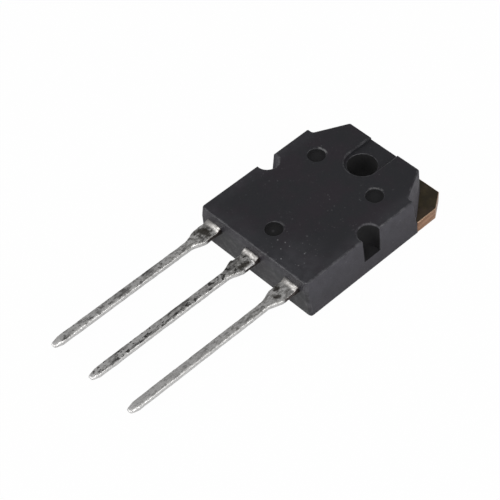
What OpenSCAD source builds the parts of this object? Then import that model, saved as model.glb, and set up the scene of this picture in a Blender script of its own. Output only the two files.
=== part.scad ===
// Flat plastic power transistor: moulded body on a copper header, one fixing hole and three
// straight leads in a row.
// Frame: origin at the centre of the fixing hole on the flat back, +Z out of the marking face,
// leads pointing along -Y, +X across the body. All lengths in millimetres, angles in degrees.

/* [Moulded body] */
// Width of the body across its back
body_width = 15.5; // [15.2:0.1:15.9]
// Thickness from the back to the marking face
body_thickness = 4.7; // [4.5:0.1:5]
// Lean of the long side faces and of the end face
side_draft = 4.6; // [3:0.2:6]
// Fixing hole centre to the parting line of the lead face
hole_to_lead_face = 15.5; // [15.2:0.1:15.8]
// Fixing hole centre to the end face of the moulding, where it meets the header
hole_to_mould_end = 3.5; // [3.3:0.1:3.8]
// Width of that end face
mould_end_width = 9.6; // [9.3:0.1:9.9]
// Set-back of the lead face at the back edge
lead_face_lower_setback = 0.3; // [0.1:0.05:0.4]
// Set-back of the lead face at the marking face
lead_face_upper_setback = 0.1; // [0.05:0.05:0.2]

/* [Shoulders] */
// Set-in of the foot of each shoulder's inner corner from the side of the body
shoulder_inset = 0.24; // [0.2:0.01:0.4]
// How far that inner corner moves inwards over the height of the moulding
shoulder_lean_x = 0.83; // [0.6:0.01:0.95]
// How far the shoulder face moves back over the height of the moulding
shoulder_lean_y = 0.42; // [0.3:0.05:0.6]
// Radius in the inner corner of each shoulder
shoulder_fillet = 0.4; // [0.2:0.05:0.6]

/* [Hole and recess] */
// Diameter of the fixing hole
hole_diameter = 3.2; // [3.1:0.1:3.4]
// Width of the recess running from the hole to the end
recess_width = 3.7; // [3.5:0.1:4]
// Depth of that recess below the marking face
recess_depth = 0.4; // [0.2:0.05:0.6]

/* [Side notches] */
// Distance from the hole centre towards the leads
notch_y = 6.45; // [6.2:0.05:6.7]
// Set-in of the notch centre from the side of the body
notch_inset = 0.62; // [0.45:0.01:0.75]
// Radius at the marking face
notch_top_radius = 1.2; // [1:0.05:1.4]
// Radius at the ledge
notch_ledge_radius = 1.1; // [0.9:0.05:1.2]
// Height of the ledge above the back
notch_ledge_height = 1.7; // [1.6:0.1:2.2]

/* [Ejector marks] */
// Diameter of the three round marks
mark_diameter = 1.9; // [1.6:0.1:2.2]
// Depth of the marks
mark_depth = 0.4; // [0.2:0.05:0.5]
// Distance of the side pair from the middle line
mark_pair_x = 4.07; // [3.8:0.01:4.3]
// Distance of the side pair from the hole centre towards the leads
mark_pair_y = 2.46; // [2.3:0.02:2.7]
// Distance of the single mark from the hole centre towards the leads
mark_single_y = 12.47; // [12.2:0.01:12.7]

/* [Header] */
// Thickness of the copper header
header_thickness = 1.5; // [1.4:0.05:1.6]
// Set-in of the header's free end from each side of the body
header_end_inset = 0.05; // [0:0.05:0.25]
// Epoxy left beside the header inside the moulding
header_side_cover = 0.95; // [0.7:0.05:1.2]
// Hole centre to the free end of the header
hole_to_header_end = 4.6; // [4.4:0.1:4.8]
// Width of each cut corner of the free end
header_corner_width = 1.3; // [1:0.1:1.7]
// Length of the cut corners along the body
header_corner_length = 1.9; // [1.5:0.1:2.2]
// Hole centre to the inner end of the header
hole_to_header_inner = 11.6; // [11.3:0.1:11.8]
// Diameter of the hole in the header, lined by the moulding
header_hole_diameter = 4.2; // [4:0.1:4.4]

/* [Leads] */
// Distance between neighbouring leads
lead_pitch = 5.45; // [5.35:0.05:5.55]
// Width of the thin part of a lead
lead_width = 1; // [0.9:0.05:1.1]
// Width of the wide part next to the body
lead_shoulder_width = 2; // [1.8:0.1:2.2]
// Thickness of the lead sheet
lead_thickness = 0.6; // [0.5:0.05:0.65]
// Height of the underside of the leads above the back
lead_height = 2.85; // [2.7:0.05:2.95]
// Length of the leads outside the body
lead_length = 20.9; // [18:0.1:21.2]
// Length of the wide part outside the body
lead_shoulder_length = 2.1; // [1.8:0.1:2.8]
// Length of the slope from wide to thin
lead_taper_length = 1.35; // [1:0.05:1.6]
// Length of the pointed nose of each lead
lead_nose_length = 0.9; // [0.7:0.1:1.3]
// Cut from each side of the nose, at the tip
lead_nose_cut = 0.2; // [0.12:0.01:0.3]
// Cut from the top and from the bottom of the nose, at the tip
lead_nose_bevel = 0.15; // [0.05:0.01:0.2]

/* [Inside the moulding] */
// Side of the square silicon die
die_side = 5.2; // [4.5:0.1:5.6]
// Thickness of the die
die_thickness = 0.3; // [0.25:0.05:0.4]
// Hole centre to die centre
die_y = 6.2; // [6:0.1:6.6]
// Thickness of the solder under the die
die_solder_thickness = 0.06; // [0.04:0.01:0.08]
// Border of solder showing round the die
die_solder_border = 0.1; // [0.05:0.05:0.2]
// Width of the inner pads of the outer leads
pad_width = 3.2; // [2.8:0.1:3.4]
// Length of those pads
pad_length = 1.7; // [1.5:0.1:1.9]
// Pad end nearest the outside, measured in from the lead face
pad_inset = 1.1; // [1:0.1:1.3]
// Shift of the pads towards the middle line
pad_shift = 0.35; // [0.2:0.05:0.5]
// Diameter of the emitter bond wires
emitter_wire_diameter = 0.38; // [0.3:0.01:0.4]
// Diameter of the base bond wire
base_wire_diameter = 0.25; // [0.2:0.01:0.3]
// Radius of the arc that each bond wire follows
wire_loop_radius = 7.1; // [6.8:0.1:8]
// Distance between the two emitter wires
emitter_wire_spacing = 1.1; // [0.9:0.1:1.3]
// Wire landing on a pad, measured in from the pad's outer edge
wire_pad_inset = 0.5; // [0.4:0.05:0.8]
// Base wire landing, measured from the middle of its pad
wire_pad_offset = 0.2; // [-0.4:0.1:0.4]
// Outermost wire landing on the die, measured in from its side
wire_die_inset = 1; // [0.7:0.1:1.2]
// Wire landings on the die, measured from its centre towards the leads
wire_die_offset = 1.3; // [1:0.1:1.6]

/* [Hidden] */
// fine round surfaces
$fn = 64;
// allowance for cutters reaching past a surface
over = 1;
// smallest overlap that joins two solids
weld = 0.3;

lead_top = lead_height + lead_thickness;
half_width = body_width / 2;
header_end_half = half_width - header_end_inset;
header_tip_half = header_end_half - header_corner_width;
header_inner_half = half_width - header_side_cover;
shoulder_inner_x = half_width - shoulder_inset;
notch_x = half_width - notch_inset;
front_y = -hole_to_lead_face;
side_lean = tan(side_draft);
top_half_width = half_width - body_thickness * side_lean;
end_height = body_thickness - header_thickness;
mould_end_top = hole_to_mould_end - end_height * side_lean;
mould_end_half = mould_end_width / 2;
recess_floor = body_thickness - recess_depth;
lead_tip_y = front_y - lead_length;
die_bottom = header_thickness + die_solder_thickness;
die_top = die_bottom + die_thickness;
pad_outer_y = front_y + pad_inset;
pad_inner_y = pad_outer_y + pad_length;
// depth to which the step of the collector lead roots in the header
step_root = 0.7;
// reach of the cutters that clear everything outside a face
clear = 9;
// depth of the wire ends below the surface they are bonded to
wire_sink = 0.155;
// where each bond wire starts on its pad and lands on the die
wire_pad_y = pad_outer_y + wire_pad_inset;
base_wire_pad = [-lead_pitch + pad_shift + wire_pad_offset, wire_pad_y];
base_wire_die = [-die_side / 2 + wire_die_inset, -die_y - wire_die_offset];
emitter_wire_a_pad = [lead_pitch - pad_shift - emitter_wire_spacing / 2, wire_pad_y];
emitter_wire_a_die = [die_side / 2 - wire_die_inset - emitter_wire_spacing, -die_y - wire_die_offset];
emitter_wire_b_pad = [lead_pitch - pad_shift + emitter_wire_spacing / 2, wire_pad_y];
emitter_wire_b_die = [die_side / 2 - wire_die_inset, -die_y - wire_die_offset];

// sub-part to show

// epoxy block with leaning faces; it stops short over the header's free end
module drafted_block() {
    intersection() {
        translate([-half_width - over, 0, 0])
            rotate([90, 0, 90])
            linear_extrude(height = body_width + 2 * over)
            polygon([
                [front_y + lead_face_lower_setback, 0],
                [front_y, lead_top],
                [front_y + lead_face_upper_setback, body_thickness],
                [mould_end_top, body_thickness],
                [hole_to_mould_end, header_thickness],
                [0, header_thickness],
                [0, 0]
            ]);
        translate([0, hole_to_mould_end + over, 0])
            rotate([90, 0, 0])
            linear_extrude(height = hole_to_mould_end + hole_to_lead_face + 2 * over)
            polygon([
                [-half_width, 0],
                [half_width, 0],
                [top_half_width, body_thickness],
                [-top_half_width, body_thickness]
            ]);
    }
}

// takes the right-hand shoulder and slanting face out of the block
module shoulder_cut() {
    rise = norm([shoulder_lean_x, shoulder_lean_y, end_height]);
    tilt_x = asin(shoulder_lean_y / rise);
    tilt_y = -atan2(shoulder_lean_x, end_height);
    // angles of the slanting face from the length of the body, at the marking face and at its foot
    upper_angle = atan2(
        shoulder_inner_x - shoulder_lean_x - mould_end_half,
        mould_end_top + shoulder_lean_y
    );
    foot_angle = atan2(shoulder_inner_x - mould_end_half, hole_to_mould_end);
    foot_lean = atan(side_lean * sin(foot_angle));
    // the upper angle as it is in the tilted plane of the cutter
    slant = atan2(
        sin(upper_angle) * cos(tilt_y),
        cos(upper_angle) * cos(tilt_x) - sin(upper_angle) * sin(tilt_y) * sin(tilt_x)
    );
    r = shoulder_fillet;
    centre_x = r * (1 - sin(slant)) / cos(slant);
    intersection() {
        translate([shoulder_inner_x, 0, header_thickness])
            union() {
                rotate([tilt_x, tilt_y, 0])
                    translate([0, 0, -2 * over])
                    linear_extrude(height = end_height + 4 * over)
                    union() {
                        polygon([
                            [centre_x, 0],
                            [clear, 0],
                            [clear, clear],
                            [-clear * sin(slant), clear * cos(slant)],
                            [centre_x - r * cos(slant), r - r * sin(slant)]
                        ]);
                        translate([centre_x, r])
                            circle(r = r);
                    }
                // lower part of the slanting face, nearly upright
                rotate([0, -foot_lean, foot_angle])
                    translate([0, -over, -2 * over])
                    cube([clear, clear, end_height + 4 * over]);
            }
        translate([0, -clear, header_thickness])
            cube([2 * clear, 2 * clear, end_height + over]);
    }
}

module side_notch() {
    rise = body_thickness - notch_ledge_height;
    lean = (notch_top_radius - notch_ledge_radius) / rise;
    translate([notch_x, -notch_y, notch_ledge_height])
        cylinder(
            h = rise + over,
            r1 = notch_ledge_radius,
            r2 = notch_top_radius + lean * over
        );
}

module ejector_mark(x, y) {
    translate([x, y, body_thickness - mark_depth])
        cylinder(h = mark_depth + over, d = mark_diameter);
}

module body_outside() {
    difference() {
        union() {
            drafted_block();
            // sleeve lining the hole of the header
            cylinder(h = header_thickness + weld, d = header_hole_diameter);
        }
        for (side = [0, 1])
            mirror([side, 0, 0]) {
                shoulder_cut();
                side_notch();
                ejector_mark(mark_pair_x, -mark_pair_y);
            }
        ejector_mark(0, -mark_single_y);
        translate([0, 0, -over])
            cylinder(h = body_thickness + 2 * over, d = hole_diameter);
        // recess from the hole to the end
        translate([0, 0, recess_floor])
            cylinder(h = recess_depth + over, d = recess_width);
        translate([-recess_width / 2, 0, recess_floor])
            cube([recess_width, hole_to_mould_end + over, recess_depth + over]);
    }
}

module moulded_body() {
    color([0.13, 0.13, 0.14])
        difference() {
            body_outside();
            header_collector_lead();
            base_lead();
            emitter_lead();
            die_solder();
            silicon_die();
            round_wire(base_wire_pad, base_wire_die, base_wire_diameter);
            round_wire(emitter_wire_a_pad, emitter_wire_a_die, emitter_wire_diameter);
            round_wire(emitter_wire_b_pad, emitter_wire_b_die, emitter_wire_diameter);
        }
}

// flat outline of one lead from inner_y inside the body to its tip
module lead_outline(inner_y) {
    wide = lead_shoulder_width / 2;
    thin = lead_width / 2;
    taper_y = front_y - lead_shoulder_length;
    nose_y = lead_tip_y + lead_nose_length;
    polygon([
        [wide, inner_y],
        [wide, taper_y],
        [thin, taper_y - lead_taper_length],
        [thin, nose_y],
        [thin - lead_nose_cut, lead_tip_y],
        [-thin + lead_nose_cut, lead_tip_y],
        [-thin, nose_y],
        [-thin, taper_y - lead_taper_length],
        [-wide, taper_y],
        [-wide, inner_y]
    ]);
}

// wedge that bevels one face of a nose; it lies above the face at height 0
module nose_wedge() {
    slope = lead_nose_bevel / lead_nose_length;
    translate([-lead_width, 0, 0])
        rotate([90, 0, 90])
        linear_extrude(height = 2 * lead_width)
        polygon([
            [lead_tip_y + lead_nose_length, 0],
            [lead_tip_y + lead_nose_length, over],
            [lead_tip_y - over, over],
            [lead_tip_y - over, -lead_nose_bevel - over * slope]
        ]);
}

// sheet of lead thickness from a flat outline, with the nose of one lead bevelled
module lead_sheet() {
    difference() {
        linear_extrude(height = lead_thickness)
            children();
        translate([0, 0, lead_thickness])
            nose_wedge();
        mirror([0, 0, 1])
            nose_wedge();
    }
}

module header_plate() {
    corner_y = hole_to_header_end - header_corner_length;
    difference() {
        linear_extrude(height = header_thickness)
            polygon([
                [-header_end_half, 0],
                [-header_end_half, corner_y],
                [-header_tip_half, hole_to_header_end],
                [header_tip_half, hole_to_header_end],
                [header_end_half, corner_y],
                [header_end_half, 0],
                [header_inner_half, 0],
                [header_inner_half, -hole_to_header_inner],
                [-header_inner_half, -hole_to_header_inner],
                [-header_inner_half, 0]
            ]);
        translate([0, 0, -over])
            cylinder(h = header_thickness + 2 * over, d = header_hole_diameter);
    }
}

// sheet stepping at 45 degrees from the lead plane down into the header
module collector_step() {
    diagonal = lead_thickness * sqrt(2);
    foot_y = -hole_to_header_inner;
    foot_z = header_thickness - step_root;
    top_sum = foot_y + foot_z + diagonal;
    translate([-lead_shoulder_width / 2, 0, 0])
        rotate([90, 0, 90])
        linear_extrude(height = lead_shoulder_width)
        polygon([
            [top_sum - lead_top, lead_top],
            [top_sum - header_thickness, header_thickness],
            [foot_y + over, header_thickness],
            [foot_y + over, foot_z],
            [foot_y, foot_z],
            [foot_y + foot_z - lead_height, lead_height],
            [front_y + pad_inset, lead_height],
            [front_y + pad_inset, lead_top]
        ]);
}

module header_collector_lead() {
    color([0.72, 0.45, 0.32])
        union() {
            header_plate();
            collector_step();
            translate([0, 0, lead_height])
                lead_sheet()
                lead_outline(front_y + pad_inset + weld);
        }
}

// outer lead with its inner pad; side is -1 for the base and 1 for the emitter
module outer_lead(side) {
    wide = lead_shoulder_width / 2;
    thin = lead_width / 2;
    taper_y = front_y - lead_shoulder_length;
    nose_y = lead_tip_y + lead_nose_length;
    pad_near = -pad_shift - pad_width / 2;
    pad_far = -pad_shift + pad_width / 2;
    mirror([side < 0 ? 1 : 0, 0, 0])
        translate([lead_pitch, 0, lead_height])
        lead_sheet()
        polygon([
            [pad_near, pad_inner_y],
            [pad_near, pad_outer_y],
            [-wide, pad_outer_y],
            [-wide, taper_y],
            [-thin, taper_y - lead_taper_length],
            [-thin, nose_y],
            [-thin + lead_nose_cut, lead_tip_y],
            [thin - lead_nose_cut, lead_tip_y],
            [thin, nose_y],
            [thin, taper_y - lead_taper_length],
            [wide, taper_y],
            [wide, pad_outer_y],
            [pad_far, pad_outer_y],
            [pad_far, pad_inner_y]
        ]);
}

module base_lead() {
    color([0.75, 0.75, 0.74])
        outer_lead(-1);
}

module emitter_lead() {
    color([0.75, 0.75, 0.74])
        outer_lead(1);
}

module die_solder() {
    s = die_side + 2 * die_solder_border;
    color([0.6, 0.6, 0.62])
        translate([-s / 2, -die_y - s / 2, header_thickness])
        cube([s, s, die_solder_thickness]);
}

module silicon_die() {
    color([0.35, 0.35, 0.4])
        translate([-die_side / 2, -die_y - die_side / 2, die_bottom])
        cube([die_side, die_side, die_thickness]);
}

// round bond wire bent to one arc; its two ends are sunk in the pad and in the die
module round_wire(pad_point, die_point, d) {
    flat = [die_point[0] - pad_point[0], die_point[1] - pad_point[1]];
    reach = norm(flat);
    drop = lead_top - die_top;
    chord = norm([reach, drop]);
    // unit vector square to the chord, pointing down
    down_x = -drop / chord;
    down_z = -reach / chord;
    rise = sqrt(wire_loop_radius * wire_loop_radius - chord * chord / 4);
    centre_x = reach / 2 + down_x * rise;
    centre_z = lead_top - wire_sink - drop / 2 + down_z * rise;
    half_angle = asin(chord / 2 / wire_loop_radius);
    tilt = -atan2(drop, reach);
    translate([pad_point[0], pad_point[1], 0])
        rotate([0, 0, atan2(flat[1], flat[0])])
        translate([centre_x, 0, centre_z])
        rotate([90, 0, 0])
        rotate([0, 0, tilt + 90 - half_angle])
        rotate_extrude(angle = 2 * half_angle)
        translate([wire_loop_radius, 0])
        circle(d = d);
}

// the same wire trimmed where it meets the pad and the die
module bond_wire(pad_point, die_point, d) {
    difference() {
        round_wire(pad_point, die_point, d);
        translate([pad_point[0] - over, pad_point[1] - over, lead_height])
            cube([2 * over, 2 * over, lead_thickness]);
        translate([-die_side / 2, -die_y - die_side / 2, die_bottom])
            cube([die_side, die_side, die_thickness]);
    }
}

module base_wire() {
    color([0.85, 0.85, 0.86])
        bond_wire(base_wire_pad, base_wire_die, base_wire_diameter);
}

module emitter_wire_a() {
    color([0.85, 0.85, 0.86])
        bond_wire(emitter_wire_a_pad, emitter_wire_a_die, emitter_wire_diameter);
}

module emitter_wire_b() {
    color([0.85, 0.85, 0.86])
        bond_wire(emitter_wire_b_pad, emitter_wire_b_die, emitter_wire_diameter);
}

moulded_body();
header_collector_lead();
base_lead();
emitter_lead();
silicon_die();
die_solder();
base_wire();
emitter_wire_a();
emitter_wire_b();
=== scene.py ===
import math

import bmesh
import bpy
from mathutils import Matrix, Vector


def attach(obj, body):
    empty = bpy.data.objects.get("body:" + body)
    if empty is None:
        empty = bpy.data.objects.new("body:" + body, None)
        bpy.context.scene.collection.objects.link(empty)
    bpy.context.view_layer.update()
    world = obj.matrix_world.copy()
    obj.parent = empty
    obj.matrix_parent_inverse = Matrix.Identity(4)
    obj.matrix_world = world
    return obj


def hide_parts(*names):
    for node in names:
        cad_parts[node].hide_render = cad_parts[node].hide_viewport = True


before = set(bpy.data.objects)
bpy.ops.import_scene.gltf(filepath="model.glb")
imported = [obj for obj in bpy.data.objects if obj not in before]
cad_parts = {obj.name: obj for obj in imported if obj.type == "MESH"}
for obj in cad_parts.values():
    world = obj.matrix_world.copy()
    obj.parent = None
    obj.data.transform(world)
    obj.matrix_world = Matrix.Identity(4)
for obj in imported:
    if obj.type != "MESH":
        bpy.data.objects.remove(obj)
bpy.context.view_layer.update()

# Studio
# The transistor lies on its copper back on a plain white table under broad
# soft lights. The camera stands where the photograph was taken from.

MM = 0.001
azimuth, elevation, roll = (math.radians(v) for v in (49.378, 48.799, -4.140))
camera_distance = 173.464 * MM
slide_right, slide_up = -0.594 * MM, 2.483 * MM
focal_in_frames = 1745.748 / 500
aim_point = Vector((0, -15.2 * MM, 0))

toward_camera = Vector((
    math.sin(azimuth) * math.cos(elevation),
    -math.cos(azimuth) * math.cos(elevation),
    math.sin(elevation),
))
level_right = Vector((math.cos(azimuth), math.sin(azimuth), 0))
level_up = toward_camera.cross(level_right)
frame_right = level_right * math.cos(roll) + level_up * math.sin(roll)
frame_up = level_up * math.cos(roll) - level_right * math.sin(roll)
camera_place = (aim_point + toward_camera * camera_distance
                + frame_right * slide_right + frame_up * slide_up)

camera_data = bpy.data.cameras.new("studio_camera")
camera_data.sensor_width = 36
camera_data.lens = focal_in_frames * camera_data.sensor_width
camera_data.clip_start = 0.005
camera_data.clip_end = 20
camera = bpy.data.objects.new("studio_camera", camera_data)
turn = Matrix((frame_right, frame_up, toward_camera)).transposed()
camera.matrix_world = Matrix.Translation(camera_place) @ turn.to_4x4()
bpy.context.scene.collection.objects.link(camera)
bpy.context.scene.camera = camera
bpy.context.scene.view_settings.view_transform = "Standard"


def put(tree, kind, links=None, **settings):
    """One node in a tree: settings are its own, links fill its sockets."""
    node = tree.nodes.new(kind)
    for name, value in settings.items():
        setattr(node, name, value)
    for socket, value in (links or {}).items():
        if isinstance(value, bpy.types.NodeSocket):
            tree.links.new(value, node.inputs[socket])
        else:
            node.inputs[socket].default_value = value
    return node


def math_node(tree, operation, a, b=0.0, c=0.0, clamp=False):
    return put(tree, "ShaderNodeMath", {0: a, 1: b, 2: c},
               operation=operation, use_clamp=clamp).outputs[0]


def fresh_material(name):
    material = bpy.data.materials.new(name)
    material.use_nodes = True
    material.node_tree.nodes.clear()
    return material, material.node_tree


def object_place(tree):
    """The shaded point in the part's own frame, in metres."""
    return put(tree, "ShaderNodeTexCoord").outputs["Object"]


def between(tree, share, low, high):
    """Number mix: low where the share is 0, high where it is 1."""
    return put(tree, "ShaderNodeMix", {0: share, 2: low, 3: high},
               data_type="FLOAT").outputs[0]


def surface(tree, sockets):
    """Ends a material in one Principled shader with these sockets filled."""
    shader = put(tree, "ShaderNodeBsdfPrincipled", sockets)
    put(tree, "ShaderNodeOutputMaterial", {"Surface": shader.outputs[0]})


def relief(tree, height, strength, depth):
    """Normal of a bumpy surface whose bumps are depth millimetres high."""
    return put(tree, "ShaderNodeBump", {
        "Height": height, "Strength": strength,
        "Distance": depth * MM}).outputs[0]


table_reach = 1.5
table_drop = 0.02 * MM
# how white the table glows to the camera and to what mirrors it
white_to_eye, white_to_gloss = 0.98, 0.35
table_mesh = bpy.data.meshes.new("white_table")
table_mesh.from_pydata(
    [(sx * table_reach, sy * table_reach, -table_drop)
     for sx, sy in ((-1, -1), (1, -1), (1, 1), (-1, 1))], [], [(0, 1, 2, 3)])
table = bpy.data.objects.new("white_table", table_mesh)
bpy.context.scene.collection.objects.link(table)
table_paper, tree = fresh_material("white_table_paper")
paper = put(tree, "ShaderNodeBsdfDiffuse", {"Color": (0.6, 0.6, 0.6, 1)})
glow = put(tree, "ShaderNodeEmission", {"Color": (1, 1, 1, 1), "Strength": 1.0})
ray = put(tree, "ShaderNodeLightPath").outputs
share = math_node(tree, "MULTIPLY_ADD", ray["Is Glossy Ray"], white_to_gloss,
                  math_node(tree, "MULTIPLY", ray["Is Camera Ray"], white_to_eye))
blend = put(tree, "ShaderNodeMixShader",
            {0: share, 1: paper.outputs[0], 2: glow.outputs[0]})
put(tree, "ShaderNodeOutputMaterial", {"Surface": blend.outputs[0]})
table_mesh.materials.append(table_paper)

# light grey air that darkens upwards; the camera sees plain white instead
world = bpy.data.worlds.new("studio_air")
bpy.context.scene.world = world
world.use_nodes = True
tree = world.node_tree
tree.nodes.clear()
climb = put(tree, "ShaderNodeSeparateXYZ",
            {0: put(tree, "ShaderNodeTexCoord").outputs["Generated"]})
fade = put(tree, "ShaderNodeMapRange", {
    "Value": climb.outputs["Z"], "From Min": 0.0, "From Max": 0.6})
air_colour = put(tree, "ShaderNodeMix", {
    0: fade.outputs["Result"], 6: (0.60, 0.60, 0.61, 1),
    7: (0.22, 0.22, 0.225, 1)}, data_type="RGBA")
air = put(tree, "ShaderNodeBackground",
          {"Color": air_colour.outputs[2], "Strength": 1.0})
backdrop = put(tree, "ShaderNodeBackground",
               {"Color": (1, 1, 1, 1), "Strength": 1.0})
seen = put(tree, "ShaderNodeMixShader", {
    0: put(tree, "ShaderNodeLightPath").outputs["Is Camera Ray"],
    1: air.outputs[0], 2: backdrop.outputs[0]})
put(tree, "ShaderNodeOutputWorld", {"Surface": seen.outputs[0]})

for name, place, size, power in (
    ("softbox_front", (-0.30, -0.75, 0.45), 0.5, 4.0),
    ("softbox_right", (0.75, 0.05, 0.40), 0.4, 3.4),
    ("softbox_top", (0.25, -0.35, 0.75), 0.4, 4.0),
):
    lamp_data = bpy.data.lights.new(name, "AREA")
    lamp_data.size = size
    lamp_data.energy = power
    lamp = bpy.data.objects.new(name, lamp_data)
    aim = Vector(place) - aim_point
    lamp.matrix_world = (Matrix.Translation(place)
                         @ aim.to_track_quat("Z", "Y").to_matrix().to_4x4())
    bpy.context.scene.collection.objects.link(lamp)

# Moulded body
# One shot of black filled epoxy pressed round the header and the leads. Its
# edges are softly rounded and scuffed, the marking face is matt, finely
# pitted and dusty, and the lead face is smoother.

# the CAD's sizes and places, in millimetres
half_width, thickness = 7.75, 4.7
lead_face_y, lead_face_back_y = -15.5, -15.2
header_top_z = 1.5
hole_radius, recess_floor_z = 1.6, 4.3
mark_radius, mark_floor_z = 0.95, 4.3
mark_centres = ((4.07, -2.46), (-4.07, -2.46), (0, -12.47))
notch_x, notch_y, notch_radius, notch_ledge_z = 7.13, -6.45, 1.2, 1.7
lead_pitch, lead_top_z = 5.45, 3.45
# an edge counts as upright from the first rise on and as level up to the
# second; a point this close to a face counts as on it
upright_rise, level_rise, close = 0.8, 0.01, 0.02


def merged_copy(node):
    """A CAD node's triangles, joined and with the flat ones dissolved."""
    bm = bmesh.new()
    bm.from_mesh(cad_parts[node].data)
    bmesh.ops.remove_doubles(bm, verts=bm.verts, dist=0.002 * MM)
    bmesh.ops.dissolve_limit(bm, angle_limit=math.radians(0.4),
                             verts=bm.verts, edges=bm.edges)
    bm.faces.layers.float.new("edge_wear")
    return bm


def round_edges(bm, radius, steps, chosen, sharpest=20):
    """Rounds the edges that chosen(a, b) names, its points in millimetres."""
    edges = []
    for edge in bm.edges:
        if len(edge.link_faces) != 2:
            continue
        if edge.calc_face_angle(0) < math.radians(sharpest):
            continue
        a, b = (v.co / MM for v in edge.verts)
        if chosen(a, b):
            edges.append(edge)
    done = bmesh.ops.bevel(bm, geom=edges, offset=radius * MM, segments=steps,
                           offset_type="OFFSET", profile=0.5, affect="EDGES",
                           clamp_overlap=False)
    wear = bm.faces.layers.float["edge_wear"]
    for face in done["faces"]:
        face[wear] = 1


def finished(bm, name, node, material, skin=None):
    """Turns the worked mesh into the piece that stands for its CAD node."""
    bmesh.ops.recalc_face_normals(bm, faces=bm.faces)
    if bm.calc_volume(signed=True) < 0:
        bmesh.ops.reverse_faces(bm, faces=bm.faces)
    mesh = bpy.data.meshes.new(name)
    bm.to_mesh(mesh)
    bm.free()
    mesh.shade_smooth()
    mesh.set_sharp_from_angle(angle=math.radians(34))
    rough = bpy.data.objects.new(name + "_rough", mesh)
    bpy.context.scene.collection.objects.link(rough)
    if skin:
        skin(rough)
    weighted = rough.modifiers.new("even_shading", "WEIGHTED_NORMAL")
    weighted.keep_sharp = True
    graph = bpy.context.evaluated_depsgraph_get()
    final = bpy.data.meshes.new_from_object(rough.evaluated_get(graph))
    bpy.data.objects.remove(rough)
    final.name = name
    final.materials.clear()
    final.materials.append(material)
    piece = bpy.data.objects.new(name, final)
    bpy.context.scene.collection.objects.link(piece)
    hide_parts(node)
    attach(piece, "root")
    return piece


def is_front_corner(a, b):
    return (min(abs(a.x), abs(b.x)) > half_width - 0.55
            and max(a.y, b.y) < lead_face_y + 0.5
            and abs(a.z - b.z) > upright_rise)


def on_mark(p):
    return any(math.hypot(p.x - x, p.y - y) < mark_radius + 0.1
               for x, y in mark_centres)


def is_body_edge(a, b):
    rise, foot = abs(a.z - b.z), min(a.z, b.z)
    mid = (a + b) / 2
    by_header = foot < header_top_z + 0.1 and rise < 0.3
    on_hole = math.hypot(mid.x, mid.y) < hole_radius + 0.15
    if on_mark(a) or by_header or on_hole:
        return False
    upright = rise > upright_rise and foot > header_top_z - 0.2
    on_side = abs(mid.x) > 1 and mid.y > lead_face_y + 1
    return foot > thickness - close or (upright and on_side)


def is_fine_rim(a, b):
    mid = (a + b) / 2
    if min(a.z, b.z) > thickness - close and on_mark(a):
        return True
    at_hole = abs(math.hypot(mid.x, mid.y) - hole_radius) < 0.1
    return (at_hole and abs(a.z - b.z) < level_rise
            and mid.z > recess_floor_z - 0.3)


def is_back_edge(a, b):
    on_side = min(abs(a.x), abs(b.x)) > half_width - close
    in_front = max(a.y, b.y) < lead_face_back_y + 0.1
    return max(a.z, b.z) < level_rise and (on_side or in_front)


body = merged_copy("moulded_body")
round_edges(body, 0.40, 5, is_front_corner)
round_edges(body, 0.18, 4, is_body_edge)
round_edges(body, 0.05, 2, is_fine_rim)
round_edges(body, 0.06, 2, is_back_edge)


def effect(name, inputs, outputs, kind="ShaderNodeTree"):
    """An empty node group with its sockets; returns its tree and ends."""
    group = bpy.data.node_groups.new(name, kind)
    for label, sort, value in inputs:
        socket = group.interface.new_socket(
            label, in_out="INPUT", socket_type="NodeSocket" + sort)
        if value is not None:
            socket.default_value = value
    for label, sort in outputs:
        group.interface.new_socket(
            label, in_out="OUTPUT", socket_type="NodeSocket" + sort)
    start = group.nodes.new("NodeGroupInput")
    end = group.nodes.new("NodeGroupOutput")
    return group, start.outputs, end.inputs


def use(tree, group, links):
    return put(tree, "ShaderNodeGroup", links, node_tree=group).outputs


def window(tree, value, low, high):
    """Smooth rise from 0 at low to 1 at high, or fall if high is lower."""
    return put(tree, "ShaderNodeMapRange",
               {"Value": value, "From Min": low, "From Max": high},
               interpolation_type="SMOOTHSTEP").outputs["Result"]


def tint(tree, mask, under, over):
    """Colour mix: over shows where the mask is 1."""
    mixed = put(tree, "ShaderNodeMix", {0: mask, 6: under, 7: over},
                data_type="RGBA")
    return mixed.outputs[2]


def product(tree, *factors):
    result = factors[0]
    for factor in factors[1:]:
        result = math_node(tree, "MULTIPLY", result, factor, clamp=True)
    return result


def in_millimetres(tree, vector):
    return put(tree, "ShaderNodeVectorMath", {0: vector, 1: (1 / MM,) * 3},
               operation="MULTIPLY").outputs[0]


# blotches: cloudy patches, drawn out along the leads when Stretch is over 1
blotches, given, out = effect(
    "blotches",
    [("Vector", "Vector", None), ("Per mm", "Float", 1.0),
     ("Stretch", "Float", 1.0), ("Low", "Float", 0.45), ("High", "Float", 0.6),
     ("Detail", "Float", 4.0)],
    [("Mask", "Float"), ("Cloud", "Float")])
parts = put(blotches, "ShaderNodeSeparateXYZ",
            {0: in_millimetres(blotches, given["Vector"])})
squeezed = put(blotches, "ShaderNodeCombineXYZ", {
    "X": parts.outputs["X"],
    "Y": math_node(blotches, "DIVIDE", parts.outputs["Y"], given["Stretch"]),
    "Z": parts.outputs["Z"]})
cloud = put(blotches, "ShaderNodeTexNoise", {
    "Vector": squeezed.outputs[0], "Scale": given["Per mm"],
    "Detail": given["Detail"], "Roughness": 0.6}).outputs["Fac"]
blotches.links.new(cloud, out["Cloud"])
blotches.links.new(window(blotches, cloud, given["Low"], given["High"]),
                   out["Mask"])

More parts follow.
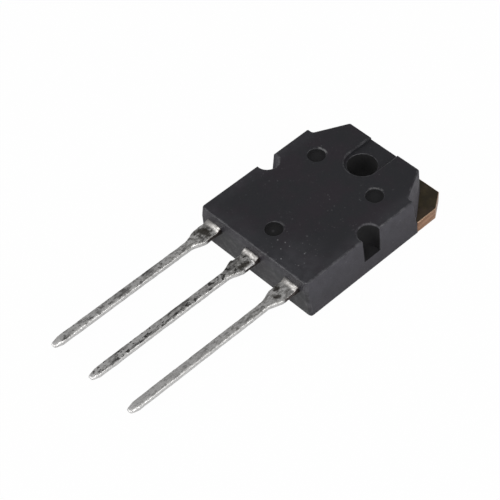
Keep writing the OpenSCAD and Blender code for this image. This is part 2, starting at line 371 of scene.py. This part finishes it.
# specks: small round spots, each with its own size, on part of the cells
specks, given, out = effect(
    "specks",
    [("Vector", "Vector", None), ("Per mm", "Float", 3.0),
     ("Share", "Float", 0.1), ("Size", "Float", 0.2)],
    [("Mask", "Float")])
cells = put(specks, "ShaderNodeTexVoronoi", {
    "Vector": in_millimetres(specks, given["Vector"]),
    "Scale": given["Per mm"], "Randomness": 1.0})
draw = put(specks, "ShaderNodeSeparateColor", {0: cells.outputs["Color"]})
kept = math_node(specks, "LESS_THAN", draw.outputs[0], given["Share"])
reach = math_node(specks, "MULTIPLY", given["Size"], draw.outputs[1])
spot = math_node(specks, "SUBTRACT", reach, cells.outputs["Distance"])
spot = math_node(specks, "MULTIPLY", spot, 12.0, clamp=True)
specks.links.new(math_node(specks, "MULTIPLY", spot, kept), out["Mask"])

# lead_axis: the place in millimetres, its Across counted from the middle of
# the nearest lead and its Sideways from the middle of the part
lead_axis, given, out = effect(
    "lead_axis", [("Vector", "Vector", None)],
    [("Across", "Float"), ("Along", "Float"), ("Height", "Float"),
     ("Sideways", "Float")])
parts = put(lead_axis, "ShaderNodeSeparateXYZ",
            {0: in_millimetres(lead_axis, given["Vector"])})
nearest = math_node(lead_axis, "ROUND", math_node(
    lead_axis, "DIVIDE", parts.outputs["X"], lead_pitch))
lead_axis.links.new(
    math_node(lead_axis, "SUBTRACT", parts.outputs["X"],
              math_node(lead_axis, "MULTIPLY", nearest, lead_pitch)),
    out["Across"])
lead_axis.links.new(parts.outputs["Y"], out["Along"])
lead_axis.links.new(parts.outputs["Z"], out["Height"])
lead_axis.links.new(parts.outputs["X"], out["Sideways"])


def near_spot(tree, vector, x, y, z, inner, outer):
    """Mask that is 1 within inner of a point and 0 from outer, in mm."""
    gap = put(tree, "ShaderNodeVectorMath",
              {0: vector, 1: (x * MM, y * MM, z * MM)}, operation="DISTANCE")
    return window(tree, gap.outputs["Value"], outer * MM, inner * MM)


epoxy, tree = fresh_material("black_epoxy")
where = object_place(tree)
place = use(tree, lead_axis, {"Vector": where})
on_top = window(tree, place["Height"], thickness - 0.15, thickness - 0.02)
beside = math_node(tree, "ABSOLUTE", place["Sideways"])

warm = use(tree, blotches, {"Vector": where, "Per mm": 0.30, "Low": 0.40,
                            "High": 0.62})["Mask"]
colour = tint(tree, warm, (0.0080, 0.0082, 0.0104, 1),
              (0.0104, 0.0078, 0.0112, 1))
grain = use(tree, blotches, {"Vector": where, "Per mm": 9.0, "Low": 0.50,
                             "High": 0.74, "Detail": 6.0})
colour = tint(tree, product(tree, grain["Mask"], 0.45), colour,
              (0.022, 0.021, 0.023, 1))

# the marking face is tinted paler towards the front right corner and along the
# notched side
paling_cloud = use(tree, blotches, {"Vector": where, "Per mm": 0.9, "Low": 0.30,
                                  "High": 0.66, "Detail": 5.0})["Mask"]
corner_paling = near_spot(tree, where, 5.0, -15.0, thickness, 0.6, 5.6)
front_paling = window(tree, place["Along"], -12.6, -15.3)
side_paling = product(tree, window(tree, beside, 5.4, 7.2), 0.55)
top_paling = math_node(tree, "MAXIMUM", corner_paling,
                 math_node(tree, "MAXIMUM", product(tree, front_paling, 0.5),
                           side_paling))
top_paling = product(tree, top_paling, on_top,
               math_node(tree, "MULTIPLY_ADD", paling_cloud, 0.65, 0.35))
colour = tint(tree, product(tree, top_paling, 0.9), colour, (0.027, 0.027, 0.031, 1))

# painted light: the sides are tinted paler, more so towards the marking face
lead_face = window(tree, place["Along"],
                   lead_face_back_y + 0.08, lead_face_back_y - 0.02)
off_top = window(tree, place["Height"], thickness - 0.04, thickness - 0.14)
off_lead_face = math_node(tree, "SUBTRACT", 1.0, lead_face)
climb = window(tree, place["Height"], 0.3, 4.5)
painted_light_sides = product(
    tree, off_top, off_lead_face, window(tree, beside, 1.9, 2.1),
    math_node(tree, "MULTIPLY_ADD", paling_cloud, 0.35, 0.65),
    math_node(tree, "MULTIPLY_ADD", climb, 0.5, 0.5))
colour = tint(tree, painted_light_sides, colour, (0.035, 0.033, 0.042, 1))
# painted light: the shoulder faces by the header are tinted paler
shoulder_painted_light = product(tree, off_top, window(tree, beside, 5.0, 5.6),
                   window(tree, place["Along"], -0.3, 0.7),
                   math_node(tree, "MULTIPLY_ADD", paling_cloud, 0.4, 0.4))
colour = tint(tree, shoulder_painted_light, colour, (0.070, 0.066, 0.074, 1))
# painted sheen: the lead face above the leads' tops is tinted paler
upper_face_painted_sheen = product(tree, lead_face, off_top,
                     window(tree, place["Height"],
                            lead_top_z - 0.05, lead_top_z + 0.25), 0.55)
colour = tint(tree, upper_face_painted_sheen, colour, (0.030, 0.028, 0.035, 1))

# dust: few pale grains everywhere, gathered in front of the single mark
dust_gather = math_node(
    tree, "MAXIMUM",
    product(tree, 0.45, use(tree, blotches, {
        "Vector": where, "Per mm": 0.22, "Low": 0.46, "High": 0.64})["Mask"]),
    near_spot(tree, where, 3.2, -13.4, thickness, 1.4, 3.2))
dust = use(tree, specks, {"Vector": where, "Per mm": 3.4, "Share": 0.5,
                          "Size": 0.36})["Mask"]
fine_dust = use(tree, specks, {"Vector": where, "Per mm": 5.5, "Share": 0.22,
                               "Size": 0.30})["Mask"]
dust = product(tree, dust, dust_gather)
colour = tint(tree, product(tree, dust, 0.7), colour, (0.12, 0.12, 0.125, 1))
colour = tint(tree, product(tree, fine_dust, 0.35), colour,
              (0.07, 0.07, 0.073, 1))

# shade in the marks, the right-hand notch and the hole; in the photo the
# left-hand notch is lit
flat_where = put(tree, "ShaderNodeVectorMath", {0: where, 1: (1, 1, 0)},
                 operation="MULTIPLY").outputs[0]
below_marks, below_back = mark_floor_z - 0.3, -1.0
shade = 0.0
for x, y, radius, mouth, bottom in (
        *((x, y, mark_radius, thickness, below_marks) for x, y in mark_centres),
        (notch_x, notch_y, notch_radius, thickness, notch_ledge_z),
        (0, 0, hole_radius, recess_floor_z, below_back)):
    inside = product(
        tree, near_spot(tree, flat_where, x, y, 0, radius, radius + 0.04),
        window(tree, place["Height"], mouth - 0.04, mouth - 0.16),
        window(tree, place["Height"], bottom - 0.03, bottom - 0.01))
    shade = math_node(tree, "MAXIMUM", shade, inside)
colour = tint(tree, product(tree, shade, 0.95), colour,
              (0.0012, 0.0012, 0.0015, 1))

# a pale dot where the single pin's centre touched
dot = near_spot(tree, where, -0.1, -12.5, mark_floor_z, 0.06, 0.22)
colour = tint(tree, product(tree, dot, 0.8), colour, (0.020, 0.020, 0.022, 1))

# a thin pale ragged rim on one side of each mark: which side, and how strong
pale_rim_sides = ((-0.5, 0.8, 0.7), (-0.1, 1.0, 1.0), (0.15, 1.0, 0.25))
pale_rim_cloud = use(tree, blotches, {"Vector": where, "Per mm": 2.4, "Low": 0.44,
                                   "High": 0.54, "Detail": 4.0})["Mask"]
pale_rim = 0.0
for (x, y), (dx, dy, strength) in zip(mark_centres, pale_rim_sides):
    rim = math_node(tree, "SUBTRACT",
                    near_spot(tree, where, x, y, thickness,
                              mark_radius + 0.11, mark_radius + 0.29),
                    near_spot(tree, where, x, y, thickness,
                              mark_radius - 0.01, mark_radius + 0.04),
                    clamp=True)
    stretch = near_spot(tree, where, x + dx, y + dy, thickness, 0.5, 0.95)
    pale_rim = math_node(tree, "MAXIMUM", pale_rim,
                      product(tree, rim, stretch, strength))
pale_rim = product(tree, pale_rim, pale_rim_cloud, on_top)
colour = tint(tree, product(tree, pale_rim, 0.85), colour, (0.13, 0.13, 0.13, 1))

# scuffs where the edges have rubbed, and painted highlight along the rounded
# edges
edge = put(tree, "ShaderNodeAttribute", attribute_name="edge_wear")
scuff = use(tree, blotches, {"Vector": where, "Per mm": 1.8, "Low": 0.38,
                             "High": 0.66, "Detail": 5.0})["Mask"]
scuffs_and_edge_highlight = product(tree, edge.outputs["Fac"], scuff)
colour = tint(tree, product(tree, scuffs_and_edge_highlight, 0.6), colour,
              (0.062, 0.061, 0.066, 1))

# the lead face came out of the mould smoother than the rest
polish = use(tree, blotches, {"Vector": where, "Per mm": 1.3, "Low": 0.30,
                              "High": 0.56, "Detail": 3.0})["Mask"]

height = math_node(tree, "MULTIPLY_ADD", dust, 0.5, grain["Cloud"])
height = math_node(tree, "MULTIPLY", height, math_node(
    tree, "MULTIPLY_ADD", lead_face, -0.7, 1.0))
matt = put(tree, "ShaderNodeMapRange", {
    "Value": grain["Cloud"], "From Min": 0.3, "From Max": 0.7,
    "To Min": 0.48, "To Max": 0.64}).outputs["Result"]
smooth = math_node(tree, "MULTIPLY_ADD", polish, 0.12, 0.36)
roughness = between(tree, lead_face, matt, smooth)
roughness = between(tree, shade, roughness, 0.95)
surface(tree, {"Base Color": colour, "Roughness": roughness, "IOR": 1.45,
               "Normal": relief(tree, height, 0.35, 0.02)})

finished(body, "epoxy_body", "moulded_body", epoxy)

# Header and the three leads
# Rolled copper strip, punched to shape. Outside the body the leads are dipped
# in solder, which leaves them lumpy and mottled with a bright fillet at the
# root; the header keeps its bare, tarnished copper.

tip_y, nose_length = -36.4, 0.9
lead_mid_z, lead_half_width, wide_half_width = 3.15, 0.5, 1.0
wide_end_y = -17.6
header_end_y, cut_corner_y, header_hole_radius = 4.6, 2.7, 2.1
# rows of edges across a lead: the y that each run of them ends at, its step
slice_runs = ((-16.3, 0.06), (-19.2, 0.12), (tip_y, 0.18))
# rows of edges along a lead, from its middle line
rows_along = (-0.33, -0.17, 0, 0.17, 0.33)


def cut_across(bm, chosen, point, normal):
    """Adds a row of edges where a plane meets the chosen faces."""
    part = [f for f in bm.faces if chosen(f.calc_center_median() / MM)]
    geom = list({v for f in part for v in f.verts}
                | {e for f in part for e in f.edges}) + part
    bmesh.ops.bisect_plane(bm, geom=geom, dist=1e-8,
                           plane_co=Vector(point) * MM, plane_no=normal)


def dipped_lead(bm, lead_x):
    """Rounds one lead outside the body and cuts it fine for its skin."""
    def near(p):
        return abs(p.x - lead_x) < wide_half_width + 0.2

    def outside(p):
        return near(p) and p.y < lead_face_y - 0.02

    def is_lead_edge(a, b):
        return near(a) and near(b) and outside((a + b) / 2)

    round_edges(bm, 0.17, 4, is_lead_edge, sharpest=14)
    y = lead_face_y - 0.01
    for run_end, step in slice_runs:
        while y > run_end + step / 2:
            cut_across(bm, near, (0, y, 0), (0, 1, 0))
            y -= step
    for across in rows_along:
        cut_across(bm, outside, (lead_x + across, 0, 0), (1, 0, 0))
    cut_across(bm, outside, (lead_x, 0, lead_mid_z), (0, 0, 1))
    past_root = lead_face_y - 0.55
    for passes, start_y in ((3, past_root), (2, tip_y + nose_length)):
        softened = [v for v in bm.verts
                    if near(v.co / MM) and v.co.y / MM < start_y]
        for _ in range(passes):
            bmesh.ops.smooth_vert(bm, verts=softened, factor=0.5,
                                  use_axis_x=True, use_axis_y=True,
                                  use_axis_z=True)


# solder_skin: swells and ripples a lead's surface as the dip left it
solder_skin, given, out = effect(
    "solder_skin",
    [("Geometry", "Geometry", None), ("Root", "Float", 0.0),
     ("Tip", "Float", 0.0), ("Ripple", "Float", 0.0), ("Lumps", "Float", 0.0),
     ("Fillet", "Float", 0.0), ("Seed", "Float", 0.0),
     ("Metal", "Material", None)],
    [("Geometry", "Geometry")], kind="GeometryNodeTree")
point = put(solder_skin, "GeometryNodeInputPosition").outputs[0]
outward = put(solder_skin, "GeometryNodeInputNormal").outputs[0]
along = put(solder_skin, "ShaderNodeSeparateXYZ", {0: point}).outputs["Y"]
out_of_root = math_node(solder_skin, "SUBTRACT", given["Root"], along)
to_tip = math_node(solder_skin, "SUBTRACT", along, given["Tip"])


def skin_noise(per_mm):
    """Four-dimensional noise from -0.5 to 0.5, its fourth place the seed."""
    wave = put(solder_skin, "ShaderNodeTexNoise", {
        "Vector": in_millimetres(solder_skin, point), "W": given["Seed"],
        "Scale": per_mm, "Detail": 1.0}, noise_dimensions="4D")
    return math_node(solder_skin, "SUBTRACT", wave.outputs["Fac"], 0.5)


swell = math_node(solder_skin, "MULTIPLY", skin_noise(0.9), given["Ripple"])
lumps = math_node(solder_skin, "MULTIPLY", skin_noise(2.2), given["Lumps"])
by_root = window(solder_skin, out_of_root, 4.2 * MM, 2.2 * MM)
swell = math_node(solder_skin, "MULTIPLY_ADD", lumps,
                  math_node(solder_skin, "MULTIPLY_ADD", by_root, 1.4, 0.6),
                  swell)
swell = math_node(solder_skin, "MULTIPLY", swell,
                  window(solder_skin, out_of_root, 0.0, 0.15 * MM))
swell = math_node(solder_skin, "MULTIPLY", swell,
                  window(solder_skin, to_tip, 0.0, 0.5 * MM))
# the fillet that climbs from the lead's top to the wall of the moulding
upward = put(solder_skin, "ShaderNodeSeparateXYZ", {0: outward}).outputs["Z"]
bead = math_node(
    solder_skin, "MULTIPLY",
    window(solder_skin, out_of_root, 0.56 * MM, 0.02 * MM),
    window(solder_skin, out_of_root, -0.06 * MM, -0.01 * MM))
bead = math_node(solder_skin, "MULTIPLY", bead,
                 window(solder_skin, upward, 0.1, 0.9))
bead = math_node(solder_skin, "MULTIPLY", bead, math_node(
    solder_skin, "MULTIPLY_ADD", skin_noise(1.6), 0.9, 1.0))
climb = put(solder_skin, "ShaderNodeCombineXYZ", {
    "Z": math_node(solder_skin, "MULTIPLY", bead, given["Fillet"])})
push = put(solder_skin, "ShaderNodeVectorMath",
           {0: outward, "Scale": swell}, operation="SCALE").outputs[0]
push = put(solder_skin, "ShaderNodeVectorMath",
           {0: push, 1: climb.outputs[0]}, operation="ADD").outputs[0]
moved = put(solder_skin, "GeometryNodeSetPosition",
            {"Geometry": given["Geometry"], "Offset": push})
real = put(solder_skin, "GeometryNodeRealizeInstances",
           {"Geometry": moved.outputs[0]})
coated = put(solder_skin, "GeometryNodeSetMaterial",
             {"Geometry": real.outputs[0], "Material": given["Metal"]})
solder_skin.links.new(coated.outputs[0], out["Geometry"])


def skin_for(seed, metal):
    """A call that puts the solder skin on a lead, before it is finished."""
    values = {"Root": lead_face_y * MM, "Tip": tip_y * MM,
              "Ripple": 0.07 * MM, "Lumps": 0.05 * MM, "Fillet": 0.27 * MM,
              "Seed": seed, "Metal": metal}

    def add(rough):
        dip = rough.modifiers.new("solder_skin", "NODES")
        dip.node_group = solder_skin
        for item in solder_skin.interface.items_tree:
            if item.in_out == "INPUT" and item.name in values:
                dip[item.identifier] = values[item.name]
    return add


# solder_dip: colour, roughness and height of the dipped leads
solder_dip, given, out = effect(
    "solder_dip", [("Vector", "Vector", None)],
    [("Colour", "Color"), ("Roughness", "Float"), ("Height", "Float")])
tree = solder_dip
where = given["Vector"]
place = use(tree, lead_axis, {"Vector": where})
top_side = window(tree, place["Height"], lead_top_z - 0.11, lead_top_z - 0.03)
frost = use(tree, blotches, {"Vector": where, "Per mm": 4.2, "Stretch": 1.5,
                             "Low": 0.38, "High": 0.62, "Detail": 4.0})
metal = tint(tree, frost["Mask"], (0.29, 0.285, 0.27, 1), (0.74, 0.73, 0.71, 1))
brighter = window(tree, place["Along"], -17.5, -36.0)
metal = tint(tree, product(tree, brighter, 0.5), metal, (0.74, 0.735, 0.72, 1))
# painted reflection: the sides of the leads are tinted a paler, more even grey
# than the tops
off_top = math_node(tree, "SUBTRACT", 1.0, top_side)
metal = tint(tree, product(tree, off_top, 0.70), metal, (0.58, 0.575, 0.57, 1))
stained = product(tree, top_side, math_node(
    tree, "MULTIPLY_ADD", window(tree, place["Sideways"], 3.0, 4.0), -0.45, 1.0))
stain = use(tree, blotches, {"Vector": where, "Per mm": 1.1, "Stretch": 3.2,
                             "Low": 0.52, "High": 0.66, "Detail": 4.0})
metal = tint(tree, product(tree, stain["Mask"], stained, 0.75), metal,
             (0.09, 0.085, 0.08, 1))
# dark flecks, most of them on the middle lead
middle = window(tree, math_node(tree, "ABSOLUTE", place["Sideways"]), 2.0, 1.5)
flecks = use(tree, blotches, {"Vector": where, "Per mm": 3.6, "Stretch": 1.9,
                              "Low": 0.53, "High": 0.61, "Detail": 3.0})["Mask"]
metal = tint(tree, product(tree, flecks, stained, math_node(
    tree, "MULTIPLY_ADD", middle, 0.30, 0.65)), metal, (0.05, 0.048, 0.045, 1))
# a dark seam along the right edge of the middle lead
seam_cloud = use(tree, blotches, {"Vector": where, "Per mm": 1.6,
                                  "Stretch": 2.5, "Low": 0.36,
                                  "High": 0.54})["Mask"]
seam = product(tree, seam_cloud, top_side, middle,
               window(tree, place["Across"], 0.10, 0.22),
               window(tree, place["Across"],
                      lead_half_width - 0.04, lead_half_width - 0.14),
               window(tree, place["Along"], -19.5, -21.5))
metal = tint(tree, product(tree, seam, 0.8), metal, (0.05, 0.048, 0.05, 1))
# soldering heat has burnt these places on the wide parts: middle and reach
burnt_cloud = use(tree, blotches, {"Vector": where, "Per mm": 2.8,
                                   "Detail": 5.0})["Cloud"]
flat_place = in_millimetres(tree, where)
burnt = 0.0
for x, y, reach_x, reach_y in ((-5.5, -16.85, 1.05, 0.80),
                               (-0.80, -17.0, 0.36, 1.10),
                               (0.45, -17.0, 0.50, 0.95),
                               (4.90, -16.95, 0.45, 0.42),
                               (5.65, -17.6, 0.40, 0.36)):
    offset = put(tree, "ShaderNodeVectorMath", {
        0: flat_place, 1: (-x, -y, -lead_top_z)}, operation="ADD").outputs[0]
    scaled = put(tree, "ShaderNodeVectorMath", {
        0: offset, 1: (1 / reach_x, 1 / reach_y, 0)}, operation="MULTIPLY")
    gap = put(tree, "ShaderNodeVectorMath", {0: scaled.outputs[0]},
              operation="LENGTH").outputs["Value"]
    ragged = math_node(tree, "MULTIPLY_ADD", burnt_cloud, 2.4, gap)
    pool = window(tree, ragged, 2.25, 1.65)
    burnt = math_node(tree, "MAXIMUM", burnt, pool)
burnt = product(tree, burnt, top_side, window(tree, place["Along"], -15.9, -16.1))
metal = tint(tree, product(tree, burnt, 0.9), metal, (0.045, 0.040, 0.032, 1))
fillet = window(tree, place["Along"], -16.2, -15.9)
metal = tint(tree, product(tree, fillet, 0.75), metal, (0.40, 0.385, 0.37, 1))
# the punched sides of the wide part stayed bare and smooth; their dark tint is
# partly painted shade beside the moulding's wall
beside = window(tree, math_node(tree, "ABSOLUTE", place["Across"]),
                wide_half_width - 0.10, wide_half_width - 0.03)
bare_and_shaded_sides = product(tree, beside,
               window(tree, place["Along"], wide_end_y, wide_end_y + 0.4))
metal = tint(tree, product(tree, bare_and_shaded_sides, 0.95), metal, (0.040, 0.030, 0.028, 1))
tree.links.new(metal, out["Colour"])
dull = put(tree, "ShaderNodeMapRange", {
    "Value": frost["Mask"], "To Min": 0.58, "To Max": 0.46}).outputs["Result"]
tree.links.new(dull, out["Roughness"])
grit = math_node(tree, "MULTIPLY_ADD", stain["Cloud"], 1.2, frost["Cloud"])
grit = math_node(tree, "MULTIPLY", grit, math_node(
    tree, "MULTIPLY_ADD", top_side, 0.75, 0.25))
tree.links.new(grit, out["Height"])

tinned, tree = fresh_material("solder_dipped_copper")
where = object_place(tree)
dip = use(tree, solder_dip, {"Vector": where})
surface(tree, {"Base Color": dip["Colour"], "Metallic": 0.95,
               "Roughness": dip["Roughness"],
               "Normal": relief(tree, dip["Height"], 0.3, 0.03)})

for node, piece_name, lead_x, seed in (
        ("base_lead", "base_lead_dipped", -lead_pitch, 3.0),
        ("emitter_lead", "emitter_lead_dipped", lead_pitch, 8.0)):
    lead = merged_copy(node)
    dipped_lead(lead, lead_x)
    finished(lead, piece_name, node, tinned,
             skin=skin_for(seed, tinned))


def is_header_edge(a, b):
    mid = (a + b) / 2
    rise = abs(a.z - b.z)
    outline = (math.hypot(mid.x, mid.y) > header_hole_radius + 0.5
               and mid.y > close)
    upright = rise > 1 and mid.y > 0.5 and abs(mid.x) > 5
    at_face = mid.z < close or abs(mid.z - header_top_z) < close
    return upright or (rise < level_rise and outline and at_face)


header = merged_copy("header_collector_lead")
round_edges(header, 0.07, 2, is_header_edge)
dipped_lead(header, 0)

strip, tree = fresh_material("header_strip_copper")
where = object_place(tree)
place = use(tree, lead_axis, {"Vector": where})
dip = use(tree, solder_dip, {"Vector": where})
rolled = use(tree, blotches, {"Vector": where, "Per mm": 3.0, "Stretch": 6.0,
                              "Low": 0.35, "High": 0.65, "Detail": 5.0})
copper = tint(tree, rolled["Mask"], (0.235, 0.130, 0.080, 1),
              (0.40, 0.235, 0.150, 1))
upper = window(tree, place["Height"], header_top_z - 0.06, header_top_z - 0.01)
copper = tint(tree, product(tree, upper, 0.93), copper, (0.105, 0.09, 0.052, 1))
tarnish = use(tree, blotches, {"Vector": where, "Per mm": 0.8, "Low": 0.35,
                               "High": 0.60})["Mask"]
copper = tint(tree, product(tree, upper, tarnish, 0.6), copper,
              (0.055, 0.048, 0.038, 1))
rosy = use(tree, blotches, {"Vector": where, "Per mm": 0.45, "Low": 0.48,
                            "High": 0.62})["Mask"]
copper = tint(tree, product(tree, upper, rosy, 0.5), copper,
              (0.15, 0.11, 0.085, 1))
# painted light: the faces of the cut corners are tinted paler than the long sides
cut_corner_painted_light = product(tree,
                window(tree, place["Height"],
                       header_top_z - 0.01, header_top_z - 0.06),
                window(tree, place["Along"], cut_corner_y, cut_corner_y + 0.06),
                window(tree, place["Along"],
                       header_end_y - 0.02, header_end_y - 0.12))
copper = tint(tree, product(tree, cut_corner_painted_light, 0.35), copper, (0.50, 0.42, 0.38, 1))
edge = put(tree, "ShaderNodeAttribute", attribute_name="edge_wear")
copper = tint(tree, product(tree, edge.outputs["Fac"], 0.6), copper,
              (0.62, 0.42, 0.29, 1))
dipped = window(tree, place["Along"], lead_face_y + 0.2, lead_face_y - 0.1)
colour = tint(tree, dipped, copper, dip["Colour"])
roughness = between(tree, dipped, 0.38, dip["Roughness"])
height = math_node(tree, "MULTIPLY_ADD", dipped, dip["Height"], rolled["Cloud"])
surface(tree, {"Base Color": colour, "Metallic": 0.95,
               "Roughness": roughness,
               "Normal": relief(tree, height, 0.3, 0.03)})
finished(header, "copper_header", "header_collector_lead",
         strip, skin=skin_for(5.0, strip))

# Inside the moulding
# The silicon die on its film of solder and the drawn aluminium bond wires.
# Nothing of them shows while the body is whole, and they keep their CAD shapes.


def clouded(name, clouds, dark, pale, metallic, roughness):
    """A material that clouds between a darker and a paler shade."""
    material, tree = fresh_material(name)
    cloud = use(tree, blotches, {"Vector": object_place(tree), **clouds})
    colour = tint(tree, cloud["Mask"], dark, pale)
    surface(tree, {"Base Color": colour, "Metallic": metallic,
                   "Roughness": roughness})
    return material


silicon = clouded("polished_silicon", {"Per mm": 1.2},
                  (0.10, 0.10, 0.12, 1), (0.14, 0.14, 0.17, 1), 0.6, 0.15)
solder = clouded("die_solder_metal", {"Per mm": 4.0},
                 (0.40, 0.40, 0.41, 1), (0.50, 0.50, 0.51, 1), 1.0, 0.4)
wire = clouded("drawn_aluminium", {"Per mm": 8.0, "Stretch": 5.0},
               (0.78, 0.78, 0.79, 1), (0.86, 0.86, 0.87, 1), 1.0, 0.25)

for node, metal in (("silicon_die", silicon), ("die_solder", solder),
                    ("base_wire", wire), ("emitter_wire_a", wire),
                    ("emitter_wire_b", wire)):
    cad_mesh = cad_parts[node].data
    cad_mesh.materials.clear()
    cad_mesh.materials.append(metal)
